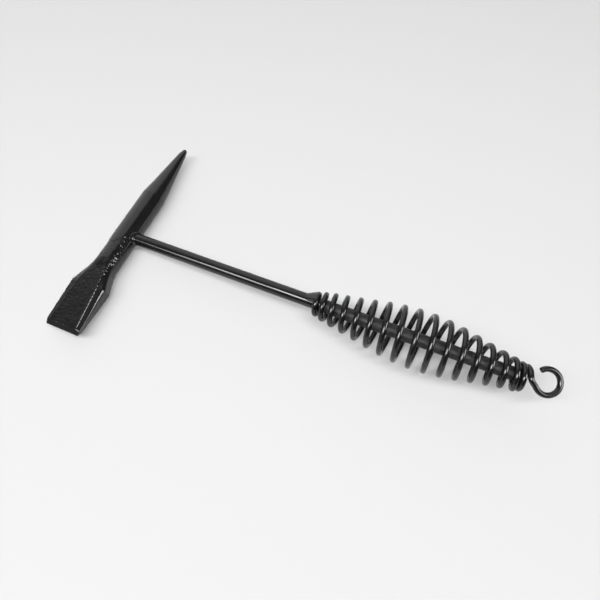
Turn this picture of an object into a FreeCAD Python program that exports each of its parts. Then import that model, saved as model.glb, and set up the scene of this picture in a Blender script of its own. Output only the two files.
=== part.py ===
import FreeCAD, Part
import os, math
import Sketcher
from FreeCAD import Vector, Placement, Rotation

# Chipping hammer: a forged chisel-and-pick head on a round rod, with a
# barrel-shaped wire-coil grip whose tail is bent into a hanging eye.
# Frame: origin where the head's long axis crosses the handle's axis,
# +X along the handle to the hanging eye, +Y along the head to the pick point,
# +Z up as the hammer lies on a bench. Millimetres and degrees.

os.makedirs("parts", exist_ok=True)
doc = FreeCAD.newDocument("chipping_hammer")

# ---------------------------------------------------------------- dimensions
DIMENSIONS = {
    # handle rod: the far end lies inside the head, the tail end inside the grip
    "rod_diameter": 8.0, "rod_far_end": 6.2, "rod_tail_end": 256.0, "rod_chamfer": 0.6,
    # round bar stock of the head and its turned pick, stations along +Y
    "head_diameter": 16.0, "pick_start": 33.0,
    "pick_nose_start": 74.8, "pick_nose_radius": 2.62,
    "pick_nose_mid": 78.9, "pick_nose_mid_radius": 1.6, "pick_tip": 80.2,
    # chisel half: its round root, and how far the blade sits off the axis towards -X
    "root_pos": 22.0, "root_half": 7.39, "root_flat": 3.06, "blade_drift": 0.3,
    # spring wire; the phase is the angle of the coil's start from +Y towards +Z
    "wire_diameter": 3.24, "coil_phase": 24.64,
    # lean of the turns, as a share of the coil radius: at mid coil, and its change to either end
    "lean_middle": 0.024, "lean_change": 0.020,
    # shift of the coil away from its start angle, reached after a number of turns
    "coil_sag": 0.26, "sag_turns": 3.0,
    # last turns, on the side opposite the start angle: shift along +X and growth in radius
    "tail_slump": 1.15, "slump_turn": 15.75, "slump_spread": 0.7,
    "tail_swell": 0.35, "swell_turn": 15.5, "swell_spread": 0.5,
    # end of the wire's lead from the coil to the hanging eye
    "lead_pos": 259.0,
    # hanging eye: centre, radius, slopes of its plane, and the angles where it starts and ends
    "eye_pos": 267.45, "eye_side": 0.1, "eye_height": 4.2, "eye_radius": 7.05,
    "eye_roll": 0.388, "eye_pitch": -0.226,
    "eye_start_angle": -134.0, "eye_open_angle": 143.0,
    # fillet weld on the head's +X side
    "head_weld_leg": 1.9, "head_weld_overlap": 2.4, "head_weld_shoulder": 0.35,
    # plug weld on the head's -X side
    "plug_crown": 0.7, "plug_radius": 4.5,
    # weld at the coil's head end; it begins a set angle before the coil's start
    "front_weld_start": 127.2, "front_weld_top": 133.9, "front_weld_end": 136.2,
    "front_weld_radius": 7.25, "front_weld_drop": 0.35,
    "front_weld_angle": 170.0, "front_weld_setback": 75.0,
    # weld at the coil's tail end
    "rear_weld_start": 250.2, "rear_weld_end": 257.7, "rear_weld_radius": 6.2,
    "rear_weld_bite": 0.1, "rear_weld_rise": 0.8, "rear_weld_fall": 1.0, "rear_weld_drop": 0.2,
    "rear_weld_lip": 0.6, "rear_weld_lip_back": 0.4, "rear_weld_lap": 1.6,
    "rear_weld_tail_overlap": 0.1,
    "rear_weld_angle": 130.0, "rear_weld_middle": 222.0,
}

# Eight-sided sections of the chisel half, from the root to the edge:
# distance along -Y, half width, half width of the flats, half height at the flats,
# half height of the sides
BLADE_COLUMNS = ("pos", "half", "flat", "top", "side")
BLADE_SECTIONS = {
    "neck": (31.0, 8.45, 4.6, 6.85, 3.75),
    "shoulder": (41.6, 11.7, 6.8, 5.5, 4.3),
    "bevel": (69.8, 11.65, 9.1, 2.55, 1.85),
    "edge": (72.5, 11.2, 10.6, 0.55, 0.4),
}

# Barrel of the grip: turns from the coil's start, position along X, radius of the wire's centre
COIL_COLUMNS = ("turn", "pos", "radius")
COIL_STATIONS = [
    (0.0, 133.88, 5.65), (1.5, 140.84, 7.72), (4.0, 158.66, 10.95),
    (7.0, 183.79, 15.38), (10.0, 210.22, 15.39), (13.0, 235.07, 10.74),
    (15.2, 250.46, 7.75), (16.2, 254.55, 6.79), (17.0, 256.52, 6.52),
]

# Lead from coil to eye: turns past the coil's end, distance short of lead_pos, shift in Y, in Z
LEAD_POINTS = [(0.125, 1.45, -0.1, -0.05), (0.25, 0.0, 0.0, 0.0)]

POINTS_PER_TURN = 20
EYE_STEPS = 18
WIRE_EDGES = 18        # smooth edges in the sweep's path
TOOL_EDGES = 4         # the same for a stretch of wire that trims a weld
FRONT_TOOL_END = 1.35  # turns
REAR_TOOL_START, REAR_TOOL_END = 14.0, 17.0


def fill_sheet():
    """Writes every dimension and table value to the sheet, each under its own alias."""
    cells = dict(DIMENSIONS)
    for stem, values in BLADE_SECTIONS.items():
        for column, value in zip(BLADE_COLUMNS, values):
            cells["%s_%s" % (stem, column)] = value
    for number, values in enumerate(COIL_STATIONS, start=1):
        for column, value in zip(COIL_COLUMNS, values):
            cells["coil_%s_%d" % (column, number)] = value
    for row, (alias, value) in enumerate(cells.items(), start=1):
        sheet.set("A%d" % row, alias.replace("_", " "))
        sheet.set("B%d" % row, repr(value))
        sheet.setAlias("B%d" % row, alias)
    doc.recompute()


sheet = doc.addObject("Spreadsheet::Sheet", "Dimensions")
fill_sheet()


def cell(alias):
    return float(getattr(sheet, alias))


class Dim:
    """A size that carries both its number and the sheet expression that drives it."""

    def __init__(self, value, text):
        self.value = float(value)
        self.text = text

    def _join(self, other, sign, value):
        right = other.text if isinstance(other, Dim) else repr(float(other))
        return Dim(value, "(%s %s %s)" % (self.text, sign, right))

    def __add__(self, other):
        return self._join(other, "+", self.value + plain(other))

    def __sub__(self, other):
        return self._join(other, "-", self.value - plain(other))

    def __mul__(self, other):
        return self._join(other, "*", self.value * plain(other))

    def __truediv__(self, other):
        return self._join(other, "/", self.value / plain(other))

    def __neg__(self):
        return Dim(-self.value, "(-1 * %s)" % self.text)


def plain(size):
    return size.value if isinstance(size, Dim) else float(size)


def ref(alias):
    return Dim(cell(alias), "Dimensions." + alias)


ZERO = Dim(0.0, "0")
half_head = ref("head_diameter") / 2
half_rod = ref("rod_diameter") / 2
half_wire = ref("wire_diameter") / 2


# ------------------------------------------------------- sketches and bodies
def new_body(label):
    body = doc.addObject("PartDesign::Body", label + "_body")
    body.Label = label
    return body


def new_sketch(body, name, role, offset=None):
    """Empty sketch on one of the body's origin planes, offset along the plane's normal."""
    sketch = body.newObject("Sketcher::SketchObject", name)
    plane = next(item for item in body.Origin.OriginFeatures if item.Role == role)
    sketch.AttachmentSupport = [(plane, "")]
    sketch.MapMode = "FlatFace"
    if offset is not None:
        sketch.setExpression(".AttachmentOffset.Base.z", offset.text)
    return sketch


def drive(sketch, kind, target, size):
    """Adds a dimensional constraint that follows the sheet."""
    place = sketch.addConstraint(Sketcher.Constraint(kind, *target, size.value))
    sketch.setExpression("Constraints[%d]" % place, size.text)


def polygon_sketch(body, name, role, corners, offset=None):
    """Closed outline; every corner's two coordinates are driven by the sheet."""
    sketch = new_sketch(body, name, role, offset)
    points = [Vector(x.value, y.value, 0) for x, y in corners]
    count = len(points)
    for index in range(count):
        sketch.addGeometry(Part.LineSegment(points[index], points[(index + 1) % count]), False)
    for index in range(count):
        following = (index + 1) % count
        sketch.addConstraint(Sketcher.Constraint("Coincident", index, 2, following, 1))
    for index, (x, y) in enumerate(corners):
        for kind, size, axis in (("DistanceX", x, -2), ("DistanceY", y, -1)):
            if abs(size.value) < 1e-9:
                sketch.addConstraint(Sketcher.Constraint("PointOnObject", index, 1, axis))
            else:
                drive(sketch, kind, (-1, 1, index, 1), size)
    return sketch


def circle_sketch(body, name, role, radius, offset=None):
    sketch = new_sketch(body, name, role, offset)
    sketch.addGeometry(Part.Circle(Vector(0, 0, 0), Vector(0, 0, 1), radius.value), False)
    sketch.addConstraint(Sketcher.Constraint("Coincident", 0, 3, -1, 1))
    drive(sketch, "Radius", (0,), radius)
    return sketch


def revolve(body, name, outline, axis, sweep=None):
    """Turns the outline about a sketch axis, all the way round or through the sweep angle."""
    turned = body.newObject("PartDesign::Revolution", name)
    turned.Profile = outline
    turned.ReferenceAxis = (outline, [axis])
    turned.Angle = 360.0
    if sweep is not None:
        turned.setExpression("Angle", sweep.text)
    doc.recompute()


# ------------------------------------------------------------------ the head
def root_section(body):
    """The round bar's own circle as eight arcs, one for each side of the sections that follow."""
    sketch = new_sketch(body, "root_section", "XZ_Plane", ref("root_pos"))
    half, flat = ref("root_half"), ref("root_flat")
    across = [half, half, flat, -flat, -half, -half, -flat, flat]
    rise = [-1, 1, 1, 1, 1, -1, -1, -1]
    radius = half_head.value
    angles = [math.atan2(sign * math.sqrt(radius ** 2 - size.value ** 2), size.value)
              for size, sign in zip(across, rise)]
    circle = Part.Circle(Vector(0, 0, 0), Vector(0, 0, 1), radius)
    for index in range(8):
        first, last = angles[index], angles[(index + 1) % 8]
        while last < first:
            last += 2.0 * math.pi
        sketch.addGeometry(Part.ArcOfCircle(circle, first, last), False)
    for index in range(8):
        sketch.addConstraint(Sketcher.Constraint("Coincident", index, 3, -1, 1))
        if index < 7:
            sketch.addConstraint(Sketcher.Constraint("Coincident", index, 2, index + 1, 1))
        drive(sketch, "DistanceX", (-1, 1, index, 1), across[index])
    # the last arc's end is placed by its distance, as the radius already closes the ring
    drive(sketch, "DistanceX", (-1, 1, 7, 2), across[0])
    drive(sketch, "Radius", (0,), half_head)
    return sketch


def blade_section(body, stem):
    """One eight-sided section of the chisel half."""
    drift = ref("blade_drift")
    pos, half, flat, top, side = (ref("%s_%s" % (stem, column)) for column in BLADE_COLUMNS)
    return polygon_sketch(body, stem + "_section", "XZ_Plane", [
        (half - drift, -side), (half - drift, side),
        (flat - drift, top), (-flat - drift, top),
        (-half - drift, side), (-half - drift, -side),
        (-flat - drift, -top), (flat - drift, -top),
    ], pos)


def build_head():
    body = new_body("hammer_head")
    outline = polygon_sketch(body, "bar_and_pick_outline", "XY_Plane", [
        (ZERO, -ref("root_pos")),
        (half_head, -ref("root_pos")),
        (half_head, ref("pick_start")),
        (ref("pick_nose_radius"), ref("pick_nose_start")),
        (ref("pick_nose_mid_radius"), ref("pick_nose_mid")),
        (ZERO, ref("pick_tip")),
    ])
    revolve(body, "bar_and_pick", outline, "V_Axis")

    sections = [root_section(body)] + [blade_section(body, stem) for stem in BLADE_SECTIONS]
    doc.recompute()
    blade = body.newObject("PartDesign::AdditiveLoft", "chisel_half")
    blade.Profile = sections[0]
    blade.Sections = sections[1:]
    blade.Ruled = True
    doc.recompute()

    # the rod fits the handle eye line to line, so the eye has the rod's own diameter
    eye_outline = circle_sketch(body, "eye_outline", "YZ_Plane", half_rod)
    eye = body.newObject("PartDesign::Pocket", "handle_eye")
    eye.Profile = eye_outline
    eye.Type = "ThroughAll"
    # the property for cutting to both sides depends on the FreeCAD version
    if hasattr(eye, "SideType"):
        eye.SideType = "Symmetric"
    else:
        eye.Midplane = True
    doc.recompute()
    return body


# ------------------------------------------------------------------- the rod
def build_rod():
    body = new_body("handle_rod")
    far_end, tail_end = ref("rod_far_end"), ref("rod_tail_end")
    outline = circle_sketch(body, "rod_outline", "YZ_Plane", half_rod, -far_end)
    bar = body.newObject("PartDesign::Pad", "rod_bar")
    bar.Profile = outline
    bar.setExpression("Length", (tail_end + far_end).text)
    doc.recompute()
    rim = ["Edge%d" % number for number, edge in enumerate(body.Shape.Edges, start=1)
           if hasattr(edge.Curve, "Radius")
           and abs(edge.CenterOfMass.x - tail_end.value) < 0.01]
    chamfer = body.newObject("PartDesign::Chamfer", "rod_end_chamfer")
    chamfer.Base = (bar, rim)
    chamfer.setExpression("Size", ref("rod_chamfer").text)
    doc.recompute()
    return body


# ------------------------------------------------- spring grip, one long wire
def coil_table(column):
    return [cell("coil_%s_%d" % (column, number + 1)) for number in range(len(COIL_STATIONS))]


def bump(turn, middle, spread):
    """Bell curve over the turns, 1 at its middle."""
    return math.exp(-((turn - middle) / spread) ** 2)


def coil_point(barrel, turn, last_turn, phase):
    """Centre of the wire, right-handed about +X, leaning and sagging a little."""
    at = barrel.value(turn)
    angle = phase + 2.0 * math.pi * turn
    start_side = math.cos(2.0 * math.pi * turn)
    far_side = 0.5 - 0.5 * start_side
    along = (turn - last_turn / 2) / (last_turn / 2)
    lean = (cell("lean_middle") - cell("lean_change") * along) * at.y * start_side
    sag = cell("coil_sag") * min(1.0, turn / cell("sag_turns"))
    slump = (cell("tail_slump") * far_side
             * bump(turn, middle=cell("slump_turn"), spread=cell("slump_spread")))
    swell = (cell("tail_swell") * far_side
             * bump(turn, middle=cell("swell_turn"), spread=cell("swell_spread")))
    return Vector(at.x + lean + slump,
                  (at.y + swell) * math.cos(angle) - sag * math.cos(phase),
                  (at.y + swell) * math.sin(angle) - sag * math.sin(phase))


def eye_point(degrees):
    """Centre of the wire on the hanging eye; the eye's plane is rolled and pitched a little."""
    pitch = cell("eye_pitch")
    normal = Vector(-pitch, -cell("eye_roll"), 1.0)
    normal.normalize()
    along = Vector(1.0, 0.0, pitch)
    along.normalize()
    across = normal.cross(along)
    angle = math.radians(degrees)
    centre = Vector(cell("eye_pos"), cell("eye_side"), cell("eye_height"))
    return centre + (along * math.cos(angle) + across * math.sin(angle)) * cell("eye_radius")


def trace_wire():
    """Points of the wire's centre line: the coil, the lead, then the hanging eye."""
    turns, positions, radii = (coil_table(column) for column in COIL_COLUMNS)
    barrel = Part.BSplineCurve()
    barrel.interpolate(Points=[Vector(x, radius, 0) for x, radius in zip(positions, radii)],
                       Parameters=turns)
    phase = math.radians(cell("coil_phase"))
    last_turn = turns[-1]
    points = [coil_point(barrel, index / POINTS_PER_TURN, last_turn, phase)
              for index in range(int(last_turn * POINTS_PER_TURN) + 1)]
    for turn, short, shift_y, shift_z in LEAD_POINTS:
        angle = phase + 2.0 * math.pi * turn
        points.append(Vector(cell("lead_pos") - short,
                             radii[-1] * math.cos(angle) + shift_y,
                             radii[-1] * math.sin(angle) + shift_z))
    start, end = cell("eye_start_angle"), cell("eye_open_angle")
    for index in range(EYE_STEPS + 1):
        points.append(eye_point(start + (end - start) * index / EYE_STEPS))
    return points


path = trace_wire()
centreline = Part.BSplineCurve()
centreline.interpolate(Points=path, Tolerance=1e-5)


def centre_wire(first, last, pieces):
    """The centre line between two of its parameters, as a chain of smooth edges."""
    step = (last - first) / pieces
    return Part.Wire([centreline.toShape(first + step * index, first + step * (index + 1))
                      for index in range(pieces)])


def build_spring():
    first = centreline.FirstParameter
    spine = doc.addObject("Part::Feature", "wire_path")
    spine.Shape = centre_wire(first, centreline.LastParameter, WIRE_EDGES)
    ring = doc.addObject("Part::Circle", "wire_section")
    ring.setExpression("Radius", half_wire.text)
    tangent = centreline.tangent(first)[0]
    ring.Placement = Placement(path[0], Rotation(Vector(0, 0, 1), tangent))
    sweep = doc.addObject("Part::Sweep", "spring_grip_sweep")
    sweep.Sections = [ring]
    sweep.Spine = (spine, ["Edge%d" % (index + 1) for index in range(WIRE_EDGES)])
    sweep.Solid = True
    sweep.Frenet = False
    sweep.Label = "spring_grip"
    doc.recompute()
    return sweep


def coil_parameter(turn):
    """The centre line's parameter at a number of turns from the coil's start."""
    return centreline.parameter(path[int(turn * POINTS_PER_TURN)])


def wire_piece(first, last, name):
    """A stretch of the same wire between two parameters, used to shape a weld against it."""
    start = centreline.value(first)
    direction = centreline.tangent(first)[0]
    ring = Part.Wire([Part.Circle(start, direction, half_wire.value).toShape()])
    tool = doc.addObject("Part::Feature", name)
    tool.Shape = centre_wire(first, last, TOOL_EDGES).makePipeShell([ring], True, False)
    return tool


# -------------------------------------------------------------- weld deposits
def revolved_body(label, corners, sweep=None):
    """A profile in the XY plane turned about the handle's axis."""
    body = new_body(label)
    outline = polygon_sketch(body, label + "_outline", "XY_Plane", corners)
    revolve(body, label + "_turned", outline, "H_Axis", sweep)
    return body


def roll(body, degrees):
    """Rolls a body about the handle's axis."""
    body.Placement = Placement(Vector(0, 0, 0), Rotation(Vector(1, 0, 0), degrees))


def cut(base, tool, name):
    result = doc.addObject("Part::Cut", name)
    result.Base = base
    result.Tool = tool
    doc.recompute()
    return result


def build_head_weld(head, rod):
    """Fillet weld round the rod on the head's handle side."""
    leg = ref("head_weld_leg")
    inside = half_head - ref("head_weld_overlap")
    # shares of the leg give the bead its rounded face
    bead = revolved_body("head_weld_ring", [
        (inside, half_rod),
        (inside, half_rod + leg),
        (half_head + ref("head_weld_shoulder"), half_rod + leg * 0.82),
        (half_head + leg * 0.62, half_rod + leg * 0.36),
        (half_head + leg, half_rod),
    ])
    weld = cut(cut(bead, head, "head_weld_on_head"), rod, "head_weld_cut")
    weld.Label = "head_fillet_weld"
    return weld


def build_plug_weld(head):
    """Plug weld that closes the far mouth of the handle eye over the rod's end."""
    crown, radius = ref("plug_crown"), ref("plug_radius")
    # shares of crown and radius place the corner of the domed cap
    blank = revolved_body("plug_weld_blank", [
        (-ref("rod_far_end"), ZERO),
        (-ref("rod_far_end"), radius),
        (-half_head, radius),
        (-half_head - crown * 0.75, radius * 0.6),
        (-half_head - crown, ZERO),
    ])
    weld = cut(blank, head, "plug_weld_cut")
    weld.Label = "head_plug_weld"
    return weld


def build_front_weld(rod):
    """Ramp-shaped weld that blends the wire's head end into the rod."""
    end, radius = ref("front_weld_end"), ref("front_weld_radius")
    blank = revolved_body("front_weld_blank", [
        (ref("front_weld_start"), half_rod),
        (ref("front_weld_top"), radius),
        (end, radius - ref("front_weld_drop")),
        (end, half_rod),
    ], ref("front_weld_angle"))
    roll(blank, cell("coil_phase") - cell("front_weld_setback"))
    wire = wire_piece(centreline.FirstParameter, coil_parameter(FRONT_TOOL_END),
                      "front_wire_tool")
    weld = cut(cut(blank, wire, "front_weld_on_wire"), rod, "front_weld_cut")
    weld.Label = "front_spring_weld"
    return weld


def build_rear_weld(rod):
    """Weld that ties the last close coils to the rod and laps over the rod's tail end."""
    start, end, radius = ref("rear_weld_start"), ref("rear_weld_end"), ref("rear_weld_radius")
    lap_radius = half_rod - ref("rear_weld_lap")
    blank = revolved_body("rear_weld_blank", [
        (start, half_rod - ref("rear_weld_bite")),
        (start + ref("rear_weld_rise"), radius),
        (end - ref("rear_weld_fall"), radius - ref("rear_weld_drop")),
        (end, half_rod + ref("rear_weld_lip")),
        (end - ref("rear_weld_lip_back"), lap_radius),
        (ref("rod_tail_end") - ref("rear_weld_tail_overlap"), lap_radius),
    ], ref("rear_weld_angle"))
    roll(blank, cell("rear_weld_middle") - cell("rear_weld_angle") / 2)
    wire = wire_piece(coil_parameter(REAR_TOOL_START), coil_parameter(REAR_TOOL_END),
                      "rear_wire_tool")
    weld = cut(cut(blank, wire, "rear_weld_on_wire"), rod, "rear_weld_cut")
    weld.Label = "rear_spring_weld"
    return weld


# ------------------------------------------------- build, check and write out
head = build_head()
rod = build_rod()
pieces = [
    head, rod, build_spring(), build_head_weld(head, rod), build_plug_weld(head),
    build_front_weld(rod), build_rear_weld(rod),
]
doc.recompute()

for item in doc.Objects:
    if "Invalid" in item.State or "Error" in item.State:
        raise RuntimeError("%s failed: %s" % (item.Label, item.State))
for piece in pieces:
    if piece.Shape.isNull() or not piece.Shape.isValid() or piece.Shape.Volume <= 0:
        raise RuntimeError("%s has no valid shape" % piece.Label)
for piece in pieces:
    piece.Shape.exportStep("parts/%s.step" % piece.Label)
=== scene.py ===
"""A welding chipping hammer dipped in gloss black paint.

The head is a bar along Y: chisel towards -Y, pick point towards +Y. A rod runs from the head
along +X and carries a coil spring grip that ends in a hanging eye. Z is up. Shapes are worked
out in millimetres and built in metres; materials, lights and camera are in metres.
"""
import math
import bpy
import numpy as np
from mathutils import Matrix, Vector


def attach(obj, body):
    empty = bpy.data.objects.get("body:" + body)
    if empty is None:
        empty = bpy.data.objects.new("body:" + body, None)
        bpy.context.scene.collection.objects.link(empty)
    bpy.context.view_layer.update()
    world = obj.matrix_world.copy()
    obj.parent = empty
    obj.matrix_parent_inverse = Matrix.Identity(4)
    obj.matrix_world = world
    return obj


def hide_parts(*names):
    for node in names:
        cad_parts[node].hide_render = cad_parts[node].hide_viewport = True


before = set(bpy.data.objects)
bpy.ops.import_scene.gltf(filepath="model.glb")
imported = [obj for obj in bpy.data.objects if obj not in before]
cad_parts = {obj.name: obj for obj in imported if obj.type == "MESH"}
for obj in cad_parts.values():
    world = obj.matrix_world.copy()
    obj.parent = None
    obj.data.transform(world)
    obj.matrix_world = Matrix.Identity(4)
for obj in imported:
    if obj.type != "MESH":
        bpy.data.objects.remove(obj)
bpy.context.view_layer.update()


MM = 0.001
HEAD_RADIUS = 8.0
ROD_RADIUS = 4.0


# --------------------------------------------------------------- number helpers
def ease(start, end, x):
    """Smooth step from 0 at start to 1 at end; start may be the larger."""
    t = np.clip((np.asarray(x, float) - start) / (end - start), 0.0, 1.0)
    return t * t * (3.0 - 2.0 * t)


def plateau(x, up, down):
    """Eases from 0 to 1 over the span up, and back to 0 over the span down."""
    return ease(*up, x) * (1.0 - ease(*down, x))


def bell(offset, width):
    return np.exp(-(offset / width) ** 2)


def run_length(points):
    """Distance travelled along a line of points, starting at 0."""
    return np.concatenate([[0], np.cumsum(np.linalg.norm(np.diff(points, axis=0), axis=1))])


def lattice(ix, iy, iz, seed):
    """Hash of whole-number places, between -1 and 1."""
    h = (ix * 73856093) ^ (iy * 19349663) ^ (iz * 83492791) ^ (seed * 2654435761)
    h = h & 0xFFFFFFFF
    h = ((h ^ (h >> 15)) * 2246822519) & 0xFFFFFFFF
    h = ((h ^ (h >> 13)) * 3266489917) & 0xFFFFFFFF
    h = h ^ (h >> 16)
    return h.astype(np.float64) / 2147483647.5 - 1.0


def noise(points, size, seed):
    """Smooth value noise between -1 and 1; size is the width of one lump."""
    place = np.asarray(points, float) / size + 517.3
    cell = np.floor(place).astype(np.int64)
    f = place - cell
    blend = f * f * f * (f * (f * 6.0 - 15.0) + 10.0)
    total = 0.0
    for step in np.ndindex(2, 2, 2):
        weight = 1.0
        for axis in range(3):
            weight = weight * (blend[..., axis] if step[axis] else 1 - blend[..., axis])
        spot = [cell[..., axis] + step[axis] for axis in range(3)]
        total = total + weight * lattice(*spot, seed)
    return total


def lumps(points, size, seed, octaves=3):
    """Layers of noise, each half as wide and half as strong as the one before."""
    total, scale, norm = 0.0, 1.0, 0.0
    for k in range(octaves):
        total = total + scale * noise(points, size / 2.0 ** k, seed + 17 * k)
        norm += scale
        scale *= 0.5
    return total / norm


def soften(values, sigma, step):
    """Gaussian smoothing along the first axis."""
    reach = int(math.ceil(3 * sigma / step))
    kernel = np.exp(-0.5 * (np.arange(-reach, reach + 1) * step / sigma) ** 2)
    kernel /= kernel.sum()
    ends = np.repeat(values[:1], reach, 0), np.repeat(values[-1:], reach, 0)
    padded = np.concatenate([ends[0], values, ends[1]], 0)
    return np.stack([np.convolve(column, kernel, "valid") for column in padded.T], 1)


def natural_spline(knots, values):
    """Natural cubic spline through rows of values; returns a function of an array of places."""
    last = len(knots) - 1
    gaps = np.diff(knots)
    slopes = np.diff(values, axis=0) / gaps[:, None]
    system = np.zeros((last + 1, last + 1))
    target = np.zeros((last + 1, values.shape[1]))
    system[0, 0] = system[-1, -1] = 1.0
    for k in range(1, last):
        system[k, k - 1:k + 2] = gaps[k - 1], 2 * (gaps[k - 1] + gaps[k]), gaps[k]
        target[k] = 6 * (slopes[k] - slopes[k - 1])
    bend = np.linalg.solve(system, target)

    def at(place):
        k = np.clip(np.searchsorted(knots, place, side="right") - 1, 0, last - 1)
        ahead = (knots[k + 1] - place)[:, None]
        behind = (place - knots[k])[:, None]
        gap = gaps[k][:, None]
        return ((bend[k] * ahead ** 3 + bend[k + 1] * behind ** 3) / (6 * gap)
                + (values[k] / gap - bend[k] * gap / 6) * ahead
                + (values[k + 1] / gap - bend[k + 1] * gap / 6) * behind)

    return at


# ----------------------------------------------------------------- mesh helpers
def full_turn(count):
    return np.linspace(0, 2 * math.pi, count, endpoint=False)


def about_rod(x, radius, angle):
    """Points about the X axis; angle 0 is +Y and a quarter turn is +Z."""
    return np.stack(np.broadcast_arrays(x, radius * np.cos(angle), radius * np.sin(angle)), -1)


def grid_faces(rows, cols, close_rows=False):
    """Quads of a rows x cols grid whose columns close on themselves."""
    r = np.arange(rows if close_rows else rows - 1)[:, None]
    c = np.arange(cols)[None, :]
    below, beside = (r + 1) % rows, (c + 1) % cols
    quads = (r * cols + c, r * cols + beside, below * cols + beside, below * cols + c)
    return list(np.stack(quads, -1).reshape(-1, 4))


def capped(grid, flip=True):
    """A closed body from a grid of rings, with a fan of triangles over each end."""
    rows, cols = grid.shape[:2]
    verts = np.concatenate([grid.reshape(-1, 3), grid[0].mean(0)[None], grid[-1].mean(0)[None]])
    faces = grid_faces(rows, cols)
    first_hub, last_hub = rows * cols, rows * cols + 1
    last_row = (rows - 1) * cols
    for c in range(cols):
        beside = (c + 1) % cols
        faces.append([first_hub, beside, c])
        faces.append([last_hub, last_row + c, last_row + beside])
    if flip:
        faces = [face[::-1] for face in faces]
    return verts, faces


def ring_solid(outer, inner):
    """A closed ring from an outer skin and an inner skin, each around x along x 3."""
    loop = np.concatenate([outer, inner[:, ::-1]], 1)
    return loop.reshape(-1, 3), grid_faces(*loop.shape[:2], close_rows=True)


def add_object(name, data):
    obj = bpy.data.objects.new(name, data)
    bpy.context.scene.collection.objects.link(obj)
    return obj


def build(name, body, slot, node):
    """Make a smooth-shaded piece from (vertices in mm, faces) in place of a CAD node."""
    verts, faces = body
    verts = np.asarray(verts, float) * MM
    counts = np.array([len(face) for face in faces], np.int32)
    mesh = bpy.data.meshes.new(name)
    mesh.vertices.add(len(verts))
    mesh.vertices.foreach_set("co", verts.astype(np.float32).ravel())
    mesh.loops.add(int(counts.sum()))
    mesh.loops.foreach_set("vertex_index", np.concatenate(faces).astype(np.int32))
    mesh.polygons.add(len(counts))
    starts = np.concatenate([[0], np.cumsum(counts)[:-1]]).astype(np.int32)
    mesh.polygons.foreach_set("loop_start", starts)
    mesh.update(calc_edges=True)
    mesh.validate()
    # a negative volume means the faces look inward
    mesh.calc_loop_triangles()
    triangles = np.empty(len(mesh.loop_triangles) * 3, np.int32)
    mesh.loop_triangles.foreach_get("vertices", triangles)
    a, b, c = (verts[triangles.reshape(-1, 3)[:, k]] for k in range(3))
    if float(np.einsum("ij,ij->", a, np.cross(b, c))) < 0.0:
        mesh.flip_normals()
    mesh.polygons.foreach_set("use_smooth", np.ones(len(mesh.polygons), bool))
    obj = add_object(name, mesh)
    obj.data.materials.append(PAINTS[slot])
    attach(obj, "root")
    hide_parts(node)
    return obj


# -------------------------------------------------------------------- materials
class Nodes:
    """Short calls that add nodes to one tree."""

    def __init__(self, tree):
        self.tree = tree

    def add(self, kind, inputs=None, **settings):
        """Add a node; an input is either a value or another node's socket to link."""
        node = self.tree.nodes.new("ShaderNode" + kind)
        for key, value in settings.items():
            setattr(node, key, value)
        for key, value in (inputs or {}).items():
            if isinstance(value, bpy.types.NodeSocket):
                self.tree.links.new(value, node.inputs[key])
            else:
                node.inputs[key].default_value = value
        return node

    def remap(self, value, span, to, **settings):
        """Carry the range span onto the range to, held within it."""
        inputs = {"Value": value, "From Min": span[0], "From Max": span[1],
                  "To Min": to[0], "To Max": to[1]}
        return self.add("MapRange", inputs, **settings).outputs["Result"]

    def remap_soft(self, value, span, to):
        return self.remap(value, span, to, interpolation_type="SMOOTHSTEP")

    def maths(self, operation, a, b):
        return self.add("Math", {0: a, 1: b}, operation=operation).outputs[0]

    def noise(self, vector, scale, detail, roughness=0.5):
        inputs = {"Scale": scale, "Detail": detail, "Roughness": roughness, "Vector": vector}
        return self.add("TexNoise", inputs).outputs[0]

    def color_ramp(self, factor, *stops):
        """A ramp between two stops, each (position, colour)."""
        node = self.add("ValToRGB", {"Fac": factor})
        for element, (position, color) in zip(node.color_ramp.elements, stops):
            element.position = position
            element.color = tuple(color) + (1,)
        return node.outputs["Color"]

    def mix_color(self, factor, a, b):
        inputs = {"Factor": factor, "A": a, "B": b}
        return self.add("Mix", inputs, data_type="RGBA").outputs["Result"]

    def bump(self, height, distance, below=None):
        """A bump of the given depth in mm, laid over the normal below."""
        inputs = {"Strength": 1.0, "Distance": distance * MM, "Height": height}
        if below is not None:
            inputs["Normal"] = below
        return self.add("Bump", inputs).outputs["Normal"]


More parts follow.
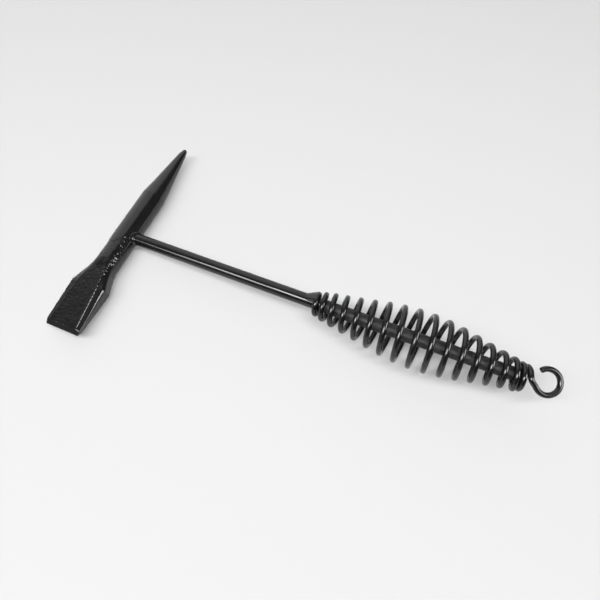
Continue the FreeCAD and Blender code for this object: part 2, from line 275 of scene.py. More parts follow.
def paint(name, base, rough, peel, lump, lump_size, seed, shine=0.5, dull_from=None):
    """Gloss black dipped paint with uneven tone and gloss, orange peel, scuffs and dust specks.

    peel and lump are bump depths and lump_size a width, in mm; seed shifts the pattern;
    beyond x = dull_from (metres) the paint is thin and dry.
    """
    material = bpy.data.materials.new(name)
    material.use_nodes = True
    material.node_tree.nodes.clear()
    nodes = Nodes(material.node_tree)
    where = nodes.add("TexCoord").outputs["Object"]
    shift = {"Vector": where, "Location": (seed, seed * 0.7, seed * 0.3)}
    place = nodes.add("Mapping", shift).outputs["Vector"]

    # tone: slow drift of the black
    drift = nodes.noise(place, scale=160.0, detail=4.0, roughness=0.6)
    color = nodes.color_ramp(drift, (0.32, [c * 0.72 for c in base]),
                             (0.70, [min(1, c * 1.45) for c in base]))
    # dust: pale specks, kept in scattered patches
    cells = nodes.add("TexVoronoi", {"Scale": 520.0, "Vector": place}, feature="F1")
    speck = nodes.remap(cells.outputs["Distance"], span=(0.05, 0.12), to=(1.0, 0.0))
    cover = nodes.noise(place, scale=90.0, detail=2.0)
    keep = nodes.remap(cover, span=(0.56, 0.64), to=(0.0, 1.0))
    dust = nodes.maths("MULTIPLY", speck, keep)
    dust_strength = nodes.maths("MULTIPLY", dust, 0.16)
    color = nodes.mix_color(dust_strength, color, (0.16, 0.155, 0.15, 1))
    # roughness: glossy pools and duller patches, fine scuffs, matt dust
    pools = nodes.noise(place, scale=210.0, detail=5.0, roughness=0.65)
    patch = nodes.remap(pools, span=(0.35, 0.75), to=(rough * 0.72, rough * 1.45))
    scuff = nodes.noise(place, scale=900.0, detail=3.0)
    fine = nodes.remap(scuff, span=(0.62, 0.74), to=(0.0, 0.10))
    roughness = nodes.maths("ADD", nodes.maths("ADD", patch, fine),
                            nodes.maths("MULTIPLY", dust, 0.25))
    # bump: orange peel, then the larger lumps of the surface under the paint
    normal = nodes.bump(nodes.noise(place, scale=700.0, detail=2.0), peel)
    under = nodes.noise(place, scale=1000.0 / lump_size, detail=3.0)
    normal = nodes.bump(under, lump, normal)

    if dull_from is not None:
        # thin dry paint: streaked along X, greyer and dull, easing in over 6 mm
        along = nodes.add("SeparateXYZ", {0: where}).outputs[0]
        dry = nodes.remap(along, span=(dull_from - 0.003, dull_from + 0.003), to=(0.0, 1.0))
        stretch = {"Vector": place, "Scale": (0.35, 1.0, 1.0)}
        stretched = nodes.add("Mapping", stretch).outputs["Vector"]
        streak = nodes.noise(stretched, scale=1000.0, detail=3.0)
        grey = nodes.color_ramp(streak, (0.42, (0.002, 0.002, 0.0022)),
                                (0.64, (0.026, 0.026, 0.027)))
        color = nodes.mix_color(dry, color, grey)
        dull = nodes.remap(streak, span=(0.3, 0.7), to=(0.30, 0.58))
        roughness = nodes.maths("ADD", roughness, nodes.maths("MULTIPLY", dry, dull))
        normal = nodes.bump(nodes.maths("MULTIPLY", dry, streak), 0.16, normal)

    surface = nodes.add("BsdfPrincipled", {
        "Base Color": color, "Roughness": roughness, "Normal": normal,
        "Specular IOR Level": shine, "IOR": 1.5, "Metallic": 0.0})
    nodes.add("OutputMaterial", {0: surface.outputs[0]})
    return material


PAINT_LOOKS = {
    "head_paint": dict(base=(0.0042, 0.0042, 0.0044), rough=0.12, peel=0.008, lump=0.014,
                       lump_size=2.0, seed=0.13, shine=0.62),
    "rod_paint": dict(base=(0.0040, 0.0040, 0.0042), rough=0.10, peel=0.004, lump=0.006,
                      lump_size=3.0, seed=0.41, dull_from=0.138),
    "wire_paint": dict(base=(0.0040, 0.0040, 0.0042), rough=0.17, peel=0.004, lump=0.010,
                       lump_size=2.0, seed=0.77, shine=0.52),
    "weld_paint": dict(base=(0.0046, 0.0046, 0.0048), rough=0.14, peel=0.008, lump=0.030,
                       lump_size=1.3, seed=0.29, shine=0.6),
}
PAINTS = {name: paint(name, **look) for name, look in PAINT_LOOKS.items()}

# --------------------------------------------------------------------- the head
# In a section, angle 0 is +X (the handle side) and 90 degrees is +Z.
# Eight-cornered sections of the chisel half; "near" is +X, "far" is -X. Columns: reach
# towards -Y, far half width, far half flat, near half width, near half flat, height of the
# flats, height of the far side corners, then height and half width of the upper near corner
CHISEL = np.array([
    [22.0, 7.39, 3.06, 7.39, 3.06, 7.39, 3.06, 3.06, 7.39],
    [31.0, 8.75, 5.00, 8.30, 5.30, 6.60, 3.75, 3.75, 8.30],
    [41.6, 11.98, 7.30, 11.40, 6.85, 5.50, 4.30, 4.05, 11.50],
    [69.8, 11.95, 9.60, 11.35, 9.00, 2.55, 1.85, 1.65, 11.95],
    [72.5, 11.45, 10.90, 10.90, 10.30, 0.55, 0.40, 0.40, 11.20],
])
CHISEL_START, CHISEL_END = CHISEL[0, 0], CHISEL[-1, 0]
PICK = np.array([[33.0, HEAD_RADIUS], [74.8, 2.62], [78.9, 1.6]])  # y, radius
TIP_START, TIP_LENGTH, TIP_RADIUS = 78.6, 1.6, 1.66  # rounded end of the pick
HEAD_STEP, HEAD_AROUND = 0.30, 320
HEAD_HALF_LIMIT = 11.995  # widest the head may reach along X


def chisel_sizes(reach):
    return [np.interp(reach, CHISEL[:, 0], column) for column in CHISEL.T[1:]]


def near_edge_angles(reach):
    """Angles of the two upper edges on the handle side: flat's edge, then side's edge."""
    _, _, _, flat, top, _, side, half = chisel_sizes(reach)
    return np.arctan2(top, flat), np.arctan2(side, half)


def chisel_radius(y, angles):
    """Outline of the chisel half at y, as its distance from the axis at each angle."""
    reach = -y
    far_half, far_flat, near_half, near_flat, top, side, upper_side, upper_half = \
        chisel_sizes(reach)
    points = np.array([
        (near_half, -side), (upper_half, upper_side), (near_flat, top), (-far_flat, top),
        (-far_half, side), (-far_half, -side), (-far_flat, -top), (near_flat, -top)])
    closed = np.concatenate([points, points[:1]])
    mark = run_length(closed)
    total = mark[-1]
    count = int(round(total / 0.04))
    run = np.arange(count) * total / count
    outline = np.stack([np.interp(run, mark, closed[:, c]) for c in (0, 1)], 1)

    def off_corner(corner):
        return np.abs((run - mark[corner] + total / 2) % total - total / 2)

    # round the corners: most in the neck, and more on the upper near corner
    spectrum = np.fft.fftfreq(count, total / count)
    radius = float(np.interp(reach, [22.0, 30.0, 38.0, 46.0, 69.8, 72.5],
                             [1.6, 1.2, 0.8, 0.42, 0.30, 0.14]))
    versions = []
    for width in (radius, radius + 1.0):
        blur = np.exp(-2.0 * (math.pi * spectrum * width) ** 2)
        versions.append(np.stack([np.fft.ifft(np.fft.fft(column) * blur).real
                                  for column in outline.T], 1))
    rounder = bell(off_corner(1), 1.6) * plateau(reach, up=(36.0, 41.0), down=(44.0, 68.0))
    rounder = rounder[:, None]
    outline = versions[0] * (1 - rounder) + versions[1] * rounder
    # flash lines: thin raised lips along the edges, the strongest on the upper near flat
    ahead = np.roll(outline, -1, 0) - np.roll(outline, 1, 0)
    ahead /= np.linalg.norm(ahead, axis=1, keepdims=True)
    normal = np.stack([ahead[:, 1], -ahead[:, 0]], 1)
    grow = ease(32.0, 35.5, reach) * (1.0 - 0.85 * ease(68.5, 71.0, reach))
    main = float(np.interp(reach, [32.0, 42.0, 52.0, 66.0, 70.0],
                           [0.44, 0.42, 0.38, 0.34, 0.26]))
    wave = float(np.interp(reach, [32.0, 40.0, 50.0, 70.0], [0.24, 0.18, 0.08, 0.06]))
    main *= 1.0 + wave * (math.sin(2.6 * y + 0.4) + 0.6 * math.sin(4.3 * y + 1.3))
    # corner, lip height, lip width
    lips = ((1, 0.02, 0.34), (2, main, 0.30), (3, 0.17, 0.26),
            (4, 0.04, 0.30), (6, 0.06, 0.25), (7, 0.08, 0.25))
    for corner, height, width in lips:
        lip = grow * height * np.exp(-0.5 * (off_corner(corner) / width) ** 2)
        outline = outline + normal * lip[:, None]
    angle = np.arctan2(outline[:, 1], outline[:, 0])
    distance = np.linalg.norm(outline, axis=1)
    order = np.argsort(angle)
    polygon = np.interp(angles, angle[order], distance[order], period=2 * math.pi)
    # the round bar turns into the polygon
    share = float(ease(22.0, 30.0, reach))
    return (1 - share) * HEAD_RADIUS + share * polygon


def head_radius(y, angles):
    if y < -CHISEL_START:
        return chisel_radius(y, angles)
    if y > TIP_START:
        return TIP_RADIUS * math.sqrt(max(0.0, 1.0 - ((y - TIP_START) / TIP_LENGTH) ** 2))
    return np.interp(y, PICK[:, 0], PICK[:, 1])


def head_grid():
    """Rings of points along the head, before its surface is made uneven."""
    chisel_fine_end = -69.0
    stations = np.unique(np.round(np.concatenate([
        np.linspace(-CHISEL_END, chisel_fine_end, 20, endpoint=False),
        np.arange(chisel_fine_end, TIP_START, HEAD_STEP),
        TIP_START + TIP_LENGTH * np.sin(np.linspace(0, 1, 14) * math.pi / 2)]), 5))
    angles = np.linspace(-math.pi, math.pi, 2881)
    by_angle = (angles + math.pi) / (2 * math.pi)
    at = np.arange(HEAD_AROUND) / HEAD_AROUND
    rings = []
    for y in stations:
        radius = head_radius(y, angles)
        outline = np.stack([np.cos(angles) * radius, np.sin(angles) * radius], 1)
        spacing = by_angle
        run = run_length(outline)
        if run[-1] > 0:
            # points are shared out mostly by length, partly by angle
            spacing = 0.8 * run / run[-1] + 0.2 * by_angle
            if y < -CHISEL_START:
                # draw more points to the two upper edges on the handle side
                pull = float(ease(22.0, 34.0, -y))
                extra = sum(np.clip((angles - edge) / 0.07 * 0.5 + 0.5, 0, 1)
                            for edge in near_edge_angles(-y))
                spacing = (spacing + 0.10 * pull * extra) / (1 + 0.20 * pull)
        x = np.interp(at, spacing, outline[:, 0])
        z = np.interp(at, spacing, outline[:, 1])
        rings.append(np.stack([x, np.full(HEAD_AROUND, y), z], 1))
    return np.array(rings)


def head_relief(grid):
    """How far each point of the head moves out of its smooth section."""
    y = grid[..., 1]
    angle = np.degrees(np.arctan2(grid[..., 2], grid[..., 0]))
    # forged, slightly mottled chisel half, calmer along the two raised edge lines
    forged = ease(-14.0, -26.0, y) * (1.0 - 0.65 * ease(-66.0, -70.5, y))
    near_edges = sum(bell(angle - np.degrees(edge), 6.0) for edge in near_edge_angles(-y))
    calm = 1.0 - 0.85 * np.clip(near_edges, 0, 1) * ease(-30.0, -34.0, y)
    push = forged * (0.074 * calm * lumps(grid, size=1.8, seed=3, octaves=2)
                     + 0.05 * lumps(grid, size=6.5, seed=5, octaves=2))
    # ridge of spatter on the bar's upper shoulder towards the handle
    ridge_angle = np.interp(y, [-31.0, -20.0, -14.0, -5.0], [47.0, 46.0, 51.0, 55.0])
    ridge = bell(angle - ridge_angle, 10.0) * plateau(y, up=(-1.5, -4.0), down=(-29.0, -34.0))
    push += ridge * (0.19 * lumps(grid, size=0.95, seed=9, octaves=2) - 0.02)
    # a rougher patch on the ridge, and fine spots above it
    patch = bell(y + 24.0, 3.6) * bell(angle - 46.0, 11.0)
    push += patch * 0.20 * lumps(grid, size=1.15, seed=17, octaves=2)
    spots = bell(angle - 68.0, 16.0) * plateau(y, up=(-4.0, -9.0), down=(-26.0, -34.0))
    push += spots * 0.055 * lumps(grid, size=1.0, seed=13, octaves=2)
    # a drop of flash where the raised edge line starts (0.145 mm of skin to a degree)
    drop = np.sqrt(((angle - 46.5) * 0.145) ** 2 + (y + 32.2) ** 2)
    push += 0.45 * bell(drop, 0.85)
    # diagonal step over the top of the bar, where the forged half begins
    seam_y = np.interp(angle, [40.0, 47.0, 64.0, 79.0, 95.0, 122.0, 150.0],
                       [-1.0, -1.5, -4.6, -8.3, -11.2, -10.8, -10.5])
    seam = plateau(angle, up=(48.0, 62.0), down=(140.0, 165.0))
    across = y - seam_y + 0.25 * lumps(grid, size=3.0, seed=21, octaves=2)
    groove = 0.10 * bell(across, 0.45)
    step = 0.07 * ease(0.3, -0.9, across) * ease(-9.0, -2.0, across)
    push += seam * (-groove - step)
    top = plateau(angle, up=(60.0, 78.0), down=(168.0, 178.0)) * ease(0.4, -1.4, across)
    push += np.maximum(forged, top) * 0.062 * calm * lumps(grid, size=1.15, seed=7, octaves=2)
    # two raised stretches of the step
    raised = bell(angle - 118.0, 10.0) + 0.7 * bell(angle - 58.0, 6.0)
    push += (seam * raised * 0.22 * bell(across + 0.55, 0.42)
             * (1 + 0.7 * lumps(grid, size=1.2, seed=31)))
    # the bar's upper far side is a little flatter on the chisel side of the step
    flat = bell(angle - 165.0, 38.0) * plateau(y, up=(-8.0, -11.0), down=(-20.0, -27.0))
    push -= 0.45 * flat
    # smooth half: barely uneven
    push += (1.0 - forged) * (0.012 * lumps(grid, size=9.0, seed=41, octaves=2)
                              + 0.050 * lumps(grid, size=4.6, seed=43, octaves=2))
    # the relief weakens towards the pick's tip
    return push * (0.25 + 0.75 * (1.0 - ease(70.0, 79.0, y)))


def make_head():
    grid = head_grid()
    # outward directions in the section plane; a ring of no size has none
    tangent = np.roll(grid, -1, 1) - np.roll(grid, 1, 1)
    outward = np.stack([tangent[..., 2], np.zeros(grid.shape[:2]), -tangent[..., 0]], -1)
    length = np.linalg.norm(outward, axis=-1, keepdims=True)
    outward = np.where(length > 1e-9, outward / np.maximum(length, 1e-9), 0.0)
    shape = grid + outward * head_relief(grid)[..., None]
    # the pick is bent off line by under a millimetre
    drift = ease(40.0, 80.0, grid[..., 1])
    shape[..., 0] -= 0.45 * drift
    shape[..., 2] += 0.35 * drift
    shape[..., 0] = np.clip(shape[..., 0], -HEAD_HALF_LIMIT, HEAD_HALF_LIMIT)
    return build("visual_head", capped(shape), "head_paint", "hammer_head")


# ---------------------------------------------------------------------- the rod
def make_rod():
    """The rod from inside the head to its chamfered end, with a faint wobble."""
    chamfer_start = 255.4
    x = np.concatenate([[-6.2, -6.19], np.arange(-6.0, 255.2, 0.8),
                        [chamfer_start, 255.44, 255.7, 255.94, 255.98, 256.0]])
    chamfered = ROD_RADIUS - (x - chamfer_start)
    radius = np.where(x < chamfer_start + 0.01, ROD_RADIUS, chamfered)
    radius[-1] = 3.3
    rod = about_rod(x[:, None], radius[:, None], full_turn(96)[None, :])
    wobble = 0.012 * lumps(rod * np.array([0.25, 1, 1]), size=3.0, seed=51, octaves=2)
    rod = rod * (1.0 + (wobble / ROD_RADIUS)[..., None] * np.array([0, 1, 1]))
    return build("visual_rod", capped(rod), "rod_paint", "handle_rod")


# ------------------------------------------------------------------- the spring
# turns from the start, x, radius of the coil
COIL = np.array([
    [0, 133.88, 5.65], [1.5, 140.84, 7.72], [4, 158.66, 10.95],
    [7, 183.79, 15.38], [10, 210.22, 15.39], [13, 235.07, 10.74],
    [15.2, 250.46, 7.75], [16.2, 254.55, 6.79], [17.0, 256.52, 6.52],
])
COIL_PHASE = math.radians(24.64)
COIL_POINTS_PER_TURN = 20
WIRE_RADIUS = 1.62
WIRE_STATIONS, WIRE_AROUND = 2700, 28
WIRE_END_ROUND = 0.35
EYE_CENTRE, EYE_RADIUS = (267.45, 0.1, 4.2), 7.05
EYE_ROLL, EYE_PITCH = 0.388, -0.226  # slopes of the eye's plane
EYE_FROM, EYE_TO, EYE_STEPS = -134.0, 143.0, 18  # degrees


def coil_path():
    last = COIL[-1, 0]
    turn = np.arange(int(last) * COIL_POINTS_PER_TURN + 1) / COIL_POINTS_PER_TURN
    x, radius = natural_spline(COIL[:, 0], COIL[:, 1:])(turn).T
    angle = COIL_PHASE + 2 * math.pi * turn
    cosine = np.cos(2 * math.pi * turn)
    # each turn leans, and the coil hangs a little off the rod's axis
    lean = (0.024 - 0.020 * (turn - last / 2) / (last / 2)) * radius * cosine
    sag = 0.26 * np.minimum(1.0, turn / 3.0)
    # one of the last turns slumps along the rod and swells, opposite its starting angle
    low = 0.5 - 0.5 * cosine
    slump = 1.15 * low * bell(turn - 15.75, 0.7)
    swell = 0.35 * low * bell(turn - 15.5, 0.5)
    return np.stack([x + lean + slump,
                     (radius + swell) * np.cos(angle) - sag * math.cos(COIL_PHASE),
                     (radius + swell) * np.sin(angle) - sag * math.sin(COIL_PHASE)], 1)


def eye_path():
    """Hanging eye: an open loop in a tilted plane beyond the rod's end."""
    normal = Vector((-EYE_PITCH, -EYE_ROLL, 1.0)).normalized()
    ahead = Vector((1.0, 0.0, EYE_PITCH)).normalized()
    side = normal.cross(ahead)
    points = []
    for k in range(EYE_STEPS + 1):
        a = math.radians(EYE_FROM + (EYE_TO - EYE_FROM) * k / EYE_STEPS)
        spoke = ahead * math.cos(a) + side * math.sin(a)
        points.append(tuple(Vector(EYE_CENTRE) + spoke * EYE_RADIUS))
    return points


def wire_centre():
    """Evenly spaced, softened centre line of the whole wire, and its spacing."""
    radius, lead_x = COIL[-1, 2], 259.0
    eighth, quarter = COIL_PHASE + math.pi / 4, COIL_PHASE + math.pi / 2
    lead = [(lead_x - 1.45, radius * math.cos(eighth) - 0.1, radius * math.sin(eighth) - 0.05),
            (lead_x, radius * math.cos(quarter), radius * math.sin(quarter))]
    path = np.concatenate([coil_path(), lead, eye_path()])
    chord = run_length(path)
    fine = natural_spline(chord, path)(np.linspace(0, chord[-1], 30001))
    run = run_length(fine)
    spacing = run[-1] / (WIRE_STATIONS - 1)
    even = np.linspace(0, run[-1], WIRE_STATIONS)
    centre = np.stack([np.interp(even, run, column) for column in fine.T], 1)
    softened = soften(centre, sigma=0.35, step=spacing)
    return np.concatenate([centre[:1], softened[1:-1], centre[-1:]]), spacing


def make_spring():
    centre, spacing = wire_centre()
    ahead = np.gradient(centre, axis=0)
    ahead /= np.linalg.norm(ahead, axis=1, keepdims=True)
    # section frames carried along without twist
    side = np.zeros_like(ahead)
    start = np.cross(ahead[0], [1.0, 0.0, 0.0])
    side[0] = start / np.linalg.norm(start)
    for k in range(1, WIRE_STATIONS):
        carried = side[k - 1] - ahead[k] * (side[k - 1] @ ahead[k])
        side[k] = carried / np.linalg.norm(carried)
    up = np.cross(ahead, side)
    # slightly rounded ends
    index = np.arange(WIRE_STATIONS)
    from_end = np.minimum(index, index[::-1]) * spacing
    depth = (WIRE_END_ROUND - from_end) / WIRE_END_ROUND
    rounded = np.sqrt(np.maximum(0.0, 1 - depth ** 2)) * 0.2 + 0.8
    radius = WIRE_RADIUS * np.where(from_end < WIRE_END_ROUND, rounded, 1.0)
    turn = full_turn(WIRE_AROUND)[None, :, None]
    spoke = side[:, None, :] * np.cos(turn) + up[:, None, :] * np.sin(turn)
    tube = centre[:, None, :] + radius[:, None, None] * spoke
    tube = tube + spoke * (0.010 * lumps(tube, size=2.4, seed=61, octaves=2))[..., None]
    return build("visual_spring", capped(tube), "wire_paint", "spring_grip")


# ------------------------------------------------------------------------ welds
def bar_half(z):
    """Half width along X of the round bar at height z."""
    return np.sqrt(np.maximum(0.0, HEAD_RADIUS ** 2 - z ** 2))


def noise_circle(angle, radius):
    """A flat circle to read noise from, so that it closes on itself."""
    return np.stack([np.cos(angle) * radius, np.sin(angle) * radius, np.zeros(len(angle))], 1)


def make_head_weld():
    """Fillet weld round the rod on the head's handle side, fuller on top."""
    profile = 20
    toe_radius, core_radius = 3.94, 3.8  # both just inside the rod's skin
    angle = full_turn(160)
    circle = noise_circle(angle, 5)
    on_top = bell((np.degrees(angle) - 118.0 + 180.0) % 360.0 - 180.0, 38.0)
    leg_rod = 1.05 + 0.22 * lumps(circle, size=2.6, seed=71, octaves=2) + 0.25 * on_top
    leg_bar = 0.95 + 0.22 * lumps(circle, size=2.2, seed=81, octaves=2) + 1.25 * on_top
    angle, on_top, leg_rod, leg_bar = (v[:, None] for v in (angle, on_top, leg_rod, leg_bar))
    s = (np.arange(profile) / (profile - 1))[None, :]
    # from the bar's skin (s = 0) to the rod's (s = 1)
    bar_radius = ROD_RADIUS + leg_bar
    bar_x = bar_half(bar_radius * np.sin(angle)) - 0.12
    rod_x = bar_half(ROD_RADIUS * np.sin(angle)) + leg_rod
    radius = bar_radius + (toe_radius - bar_radius) * s
    x = bar_x + (rod_x - bar_x) * s
    belly = (0.16 + 0.14 * on_top) * np.sin(math.pi * s) * 0.75
    outer = about_rod(x + belly, radius + belly, angle)
    inner_x = np.minimum(x, bar_half(radius * np.sin(angle)) - 0.15)
    inner = about_rod(inner_x, core_radius + (radius - toe_radius) * (1 - s), angle)
    outward = outer * np.array([0.4, 1, 1])
    outward /= np.linalg.norm(outward, axis=-1, keepdims=True)
    middle = np.sin(np.linspace(0, math.pi, profile))[None, :]
    outer = outer + outward * (middle * 0.16 * lumps(outer, size=1.5, seed=91))[..., None]
    return build("visual_head_weld", ring_solid(outer, inner), "weld_paint", "head_fillet_weld")


def make_plug_weld():
    """Domed plug weld on the head's far side (-X), in line with the rod."""
    plug_radius, profile, outer_limit = 4.62, 26, -8.7
    angle = full_turn(120)
    edge = 1.0 + 0.05 * lumps(noise_circle(angle, 4), size=3.0, seed=101, octaves=2)
    radius = (plug_radius * np.arange(profile) / (profile - 1))[:, None]
    share = radius / plug_radius
    dome = about_rod(0.0, radius * edge, angle)
    crown = 0.68 * np.clip(1 - share ** 3, 0, 1) - 0.08 * share ** 6
    dome[..., 0] = -bar_half(dome[..., 2]) - crown
    ripple = 0.10 * lumps(dome, size=1.7, seed=111)
    dome[..., 0] += ripple * np.sin(math.pi * np.minimum(1.0, share))
    dome[..., 0] = np.maximum(dome[..., 0], outer_limit)
    back = dome[-1][None] + np.array([1.5, 0, 0])
    shell = np.concatenate([dome, back])
    return build("visual_plug_weld", capped(shell, flip=False), "weld_paint", "head_plug_weld")


def band(angle, low, high, margin):
    """1 between two angles in degrees, falling smoothly to 0 outside them."""
    middle, half = (low + high) / 2, (high - low) / 2
    off = np.abs((np.degrees(angle) - middle + 180) % 360 - 180) - half
    return 1 - ease(-margin, margin, off)


def wrap_weld(name, node, x_range, skin, seed):
    """A weld laid along part of the rod; skin(x, angle) is its outer radius."""
    x, angle = np.meshgrid(np.linspace(*x_range, 80), full_turn(96), indexing="ij")
    radius = skin(x, angle)
    # lumpy only where it stands above the rod
    above = ease(0.0, 0.8, radius - ROD_RADIUS)
    ripple = 0.12 * lumps(about_rod(x, radius, angle), size=1.6, seed=seed)
    body = capped(about_rod(x, radius + above * ripple, angle))
    return build(name, body, "weld_paint", node)


def front_skin(x, angle):
    """Weld at the spring's head end, on the rod's upper +Y side."""
    rise = np.interp(x, [127.2, 128.6, 133.9, 136.2], [0.0, 0.75, 3.2, 2.9])
    covered = band(angle, low=-48.0, high=112.0, margin=14.0)
    return 3.75 + (0.25 + rise) * covered * plateau(x, up=(127.2, 127.9), down=(135.6, 136.2))


def rear_skin(x, angle):
    """Weld at the rod's far end, on its lower -Y side."""
    rise = np.interp(x, [250.2, 251.0, 256.7, 257.5], [0.0, 2.2, 2.0, 0.3])
    covered = band(angle, low=160.0, high=285.0, margin=16.0)
    return 3.72 + (0.25 + rise) * covered * ease(250.2, 250.6, x)


PIECES = [
    make_head(), make_rod(), make_spring(), make_head_weld(), make_plug_weld(),
    wrap_weld("visual_front_weld", "front_spring_weld", (127.2, 136.2), front_skin, seed=121),
    wrap_weld("visual_rear_weld", "rear_spring_weld", (250.2, 257.5), rear_skin, seed=131),
]


# -------------------------------------------------------------------- the floor
def resting_line(pieces, balance_x=0.07, gap=0.00002):
    """Slope and height at x = 0 of the line in XZ that the hammer rests on.

    It is the side of the lower hull under balance_x, lowered by gap (metres).
    """
    cloud = []
    for piece in pieces:
        places = np.zeros(len(piece.data.vertices) * 3, np.float32)
        piece.data.vertices.foreach_get("co", places)
        cloud.append(places.reshape(-1, 3)[:, [0, 2]])
    cloud = np.concatenate(cloud).astype(float)
    hull = []
    for x, z in cloud[np.lexsort((cloud[:, 1], cloud[:, 0]))]:
        while len(hull) > 1:
            (x0, z0), (x1, z1) = hull[-2:]
            if (x1 - x0) * (z - z0) - (z1 - z0) * (x - x0) > 0:
                break
            hull.pop()
        hull.append((x, z))
    for (x0, z0), (x1, z1) in zip(hull[:-1], hull[1:]):
        if x0 <= balance_x <= x1:
            break
    slope = (z1 - z0) / (x1 - x0)
    return slope, z0 - slope * x0 - gap


def floor_paper():
    """White paper that fades into the even backdrop far from the hammer."""
    material = bpy.data.materials.new("floor_paper")
    material.use_nodes = True
    nodes = Nodes(material.node_tree)
    surface = material.node_tree.nodes["Principled BSDF"]
    surface.inputs["Emission Color"].default_value = (1, 1, 1, 1)
    surface.inputs["Roughness"].default_value = 0.9
    surface.inputs["Specular IOR Level"].default_value = 0.0
    where = nodes.add("TexCoord").outputs["Object"]
    far = nodes.add("VectorMath", {0: where}, operation="LENGTH").outputs["Value"]
    # input, its values near the hammer and far away
    for name, near_far in (("Base Color", (0.337, 0.0)), ("Emission Strength", (0.215, 0.87))):
        faded = nodes.remap_soft(far, span=(0.75, 2.4), to=near_far)
        material.node_tree.links.new(faded, surface.inputs[name])
    return material


def make_floor(half=3.0):
    slope, level = resting_line(PIECES)
    mesh = bpy.data.meshes.new("floor")
    square = [(-half, -half, 0), (half, -half, 0), (half, half, 0), (-half, half, 0)]
    mesh.from_pydata(square, [], [(0, 1, 2, 3)])
    floor = add_object("floor", mesh)
    tilt = Matrix.Rotation(-math.atan(slope), 4, "Y")
    floor.matrix_world = Matrix.Translation((0, 0, level)) @ tilt
    floor.data.materials.append(floor_paper())


make_floor()

# -------------------------------------------------------------------- the world
GLOW = 0.13  # even light from everywhere
DARKEST = 0.03
# Soft patches of light: direction, cosines where each starts and is full, strength
PATCHES = (
    ((-0.45, 0.72, 0.53), (0.58, 0.80), 0.26),
    ((-0.45, 0.72, 0.53), (0.86, 0.97), 0.08),
    ((0.0, -0.2, 0.98), (0.90, 0.99), 0.12),
    ((-0.88, 0.18, 0.44), (0.86, 0.97), 0.14),
    ((-0.62, -0.68, 0.38), (0.86, 0.97), 0.14),
)
DARK_PATCH = ((0.80, -0.56, 0.20), (0.74, 0.97), 0.13)  # taken away from the rest


def make_world():
    """Studio surroundings for the paint to mirror; the camera itself sees an even grey."""
    world = bpy.data.worlds.new("studio")
    bpy.context.scene.world = world
    world.use_nodes = True
    world.node_tree.nodes.clear()
    nodes = Nodes(world.node_tree)
    direction = nodes.add("TexCoord").outputs["Generated"]

    def patch(axis, span, strength):
        inputs = {0: direction, 1: Vector(axis).normalized()}
        cosine = nodes.add("VectorMath", inputs, operation="DOT_PRODUCT").outputs["Value"]
        return nodes.remap_soft(cosine, span=span, to=(0.0, strength))

    # a pale wall on the +Y side that stops short towards +X
    axes = nodes.add("SeparateXYZ", {0: direction}).outputs
    wall = nodes.maths("MULTIPLY",
                       nodes.remap_soft(axes[1], span=(0.10, 0.34), to=(0.0, 0.58)),
                       nodes.remap_soft(axes[0], span=(0.08, 0.27), to=(1.0, 0.0)))
    total = nodes.maths("ADD", GLOW, wall)
    for values in PATCHES:
        total = nodes.maths("ADD", total, patch(*values))
    total = nodes.maths("SUBTRACT", total, patch(*DARK_PATCH))
    total = nodes.maths("MAXIMUM", total, DARKEST)
    studio = nodes.add("Background", {"Strength": total, "Color": (1, 1, 1, 1)})
    plain = nodes.add("Background", {"Strength": 1.0, "Color": (0.87, 0.87, 0.87, 1)})
    seen = nodes.add("LightPath").outputs["Is Camera Ray"]
    mixer = nodes.add("MixShader", {0: seen, 1: studio.outputs[0], 2: plain.outputs[0]})
    nodes.add("OutputWorld", {0: mixer.outputs[0]})


make_world()

# ------------------------------------------------------------------- the lights
LAMP_HEIGHT = 1.30
# One long ceiling strip that crosses above the hammer: name, x from and to, radiance
STRIPS = (("paper_far", -1.15, -0.75, 14.0), ("paper_mid", -0.75, 1.05, 25.0))
STRIP_SLOPE = 0.453  # y gained for each metre of x
STRIP_WIDTH = 0.25
# Long soft panels: name, end points, radiance
PANELS = (
    ("gloss_far", (-1.10, -1.42, LAMP_HEIGHT), (-0.72, -1.14, LAMP_HEIGHT), 6.0),
    ("gloss_left", (-0.72, -1.14, LAMP_HEIGHT), (-0.30, -0.83, LAMP_HEIGHT), 12.0),
    ("gloss_mid", (-0.30, -0.83, LAMP_HEIGHT), (0.52, -0.67, LAMP_HEIGHT), 15.0),
    ("gloss_right", (1.13, -0.10, 1.04), (1.66, 0.18, 0.28), 9.0),
)
PANEL_WIDTH = 0.50
PANEL_AIM = Vector((0.12, 0.0, 0.0))


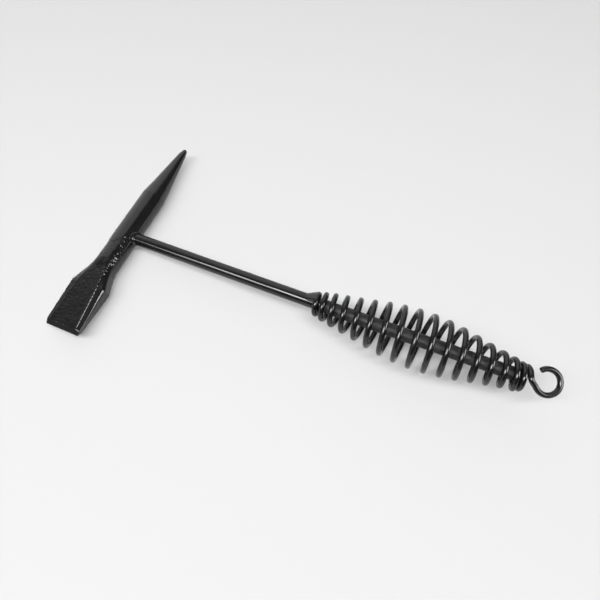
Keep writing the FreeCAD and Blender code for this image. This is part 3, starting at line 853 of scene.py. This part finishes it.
def placed(location, x_axis, y_axis, z_axis):
    turned = Matrix((x_axis, y_axis, z_axis)).transposed().to_4x4()
    return Matrix.Translation(location) @ turned


def lamp(name, matrix, length, width, radiance, lights_paper):
    """Rectangle light that either lights diffuse surfaces or is mirrored in the paint."""
    data = bpy.data.lights.new(name, "AREA")
    data.shape = "RECTANGLE"
    data.size, data.size_y = length, width
    data.energy = radiance * math.pi * length * width
    obj = add_object(name, data)
    obj.matrix_world = matrix
    obj.visible_diffuse = lights_paper
    obj.visible_glossy = not lights_paper
    obj.visible_camera = False


def make_strip(name, start, end, radiance):
    lean = math.atan(STRIP_SLOPE)
    middle = (start + end) / 2
    spot = (middle, -0.41 + STRIP_SLOPE * (middle + 0.05), LAMP_HEIGHT)
    matrix = Matrix.Translation(spot) @ Matrix.Rotation(lean, 4, "Z")
    length = (end - start) / math.cos(lean)
    lamp(name, matrix, length, STRIP_WIDTH, radiance, lights_paper=True)


def make_panel(name, start, end, radiance):
    a, b = Vector(start), Vector(end)
    along = (b - a).normalized()
    middle = (a + b) / 2
    away = (middle - PANEL_AIM).normalized()
    away = (away - along * away.dot(along)).normalized()
    matrix = placed(middle, along, away.cross(along), away)
    lamp(name, matrix, (b - a).length, PANEL_WIDTH, radiance, lights_paper=False)


for strip in STRIPS:
    make_strip(*strip)
for panel in PANELS:
    make_panel(*panel)


# ------------------------------------------------------------------- the camera
def make_camera():
    camera = add_object("camera", bpy.data.cameras.new("camera"))
    right = Vector((0.922, 0.3856, -0.034)).normalized()
    up = Vector((-0.3298, 0.8284, 0.4529)).normalized()
    back = right.cross(up).normalized()
    up = back.cross(right)
    camera.matrix_world = placed((0.1805, -0.1139, 0.2482), right, up, back)
    camera.data.lens = 27.6
    camera.data.sensor_width = 36.0
    camera.data.shift_y = -0.0025
    camera.data.clip_start = 0.005
    camera.data.clip_end = 20.0
    scene = bpy.context.scene
    scene.camera = camera
    scene.view_settings.view_transform = "Standard"
    scene.view_settings.look = "None"
    scene.view_settings.exposure = 0.0
    scene.view_settings.gamma = 1.0


make_camera()
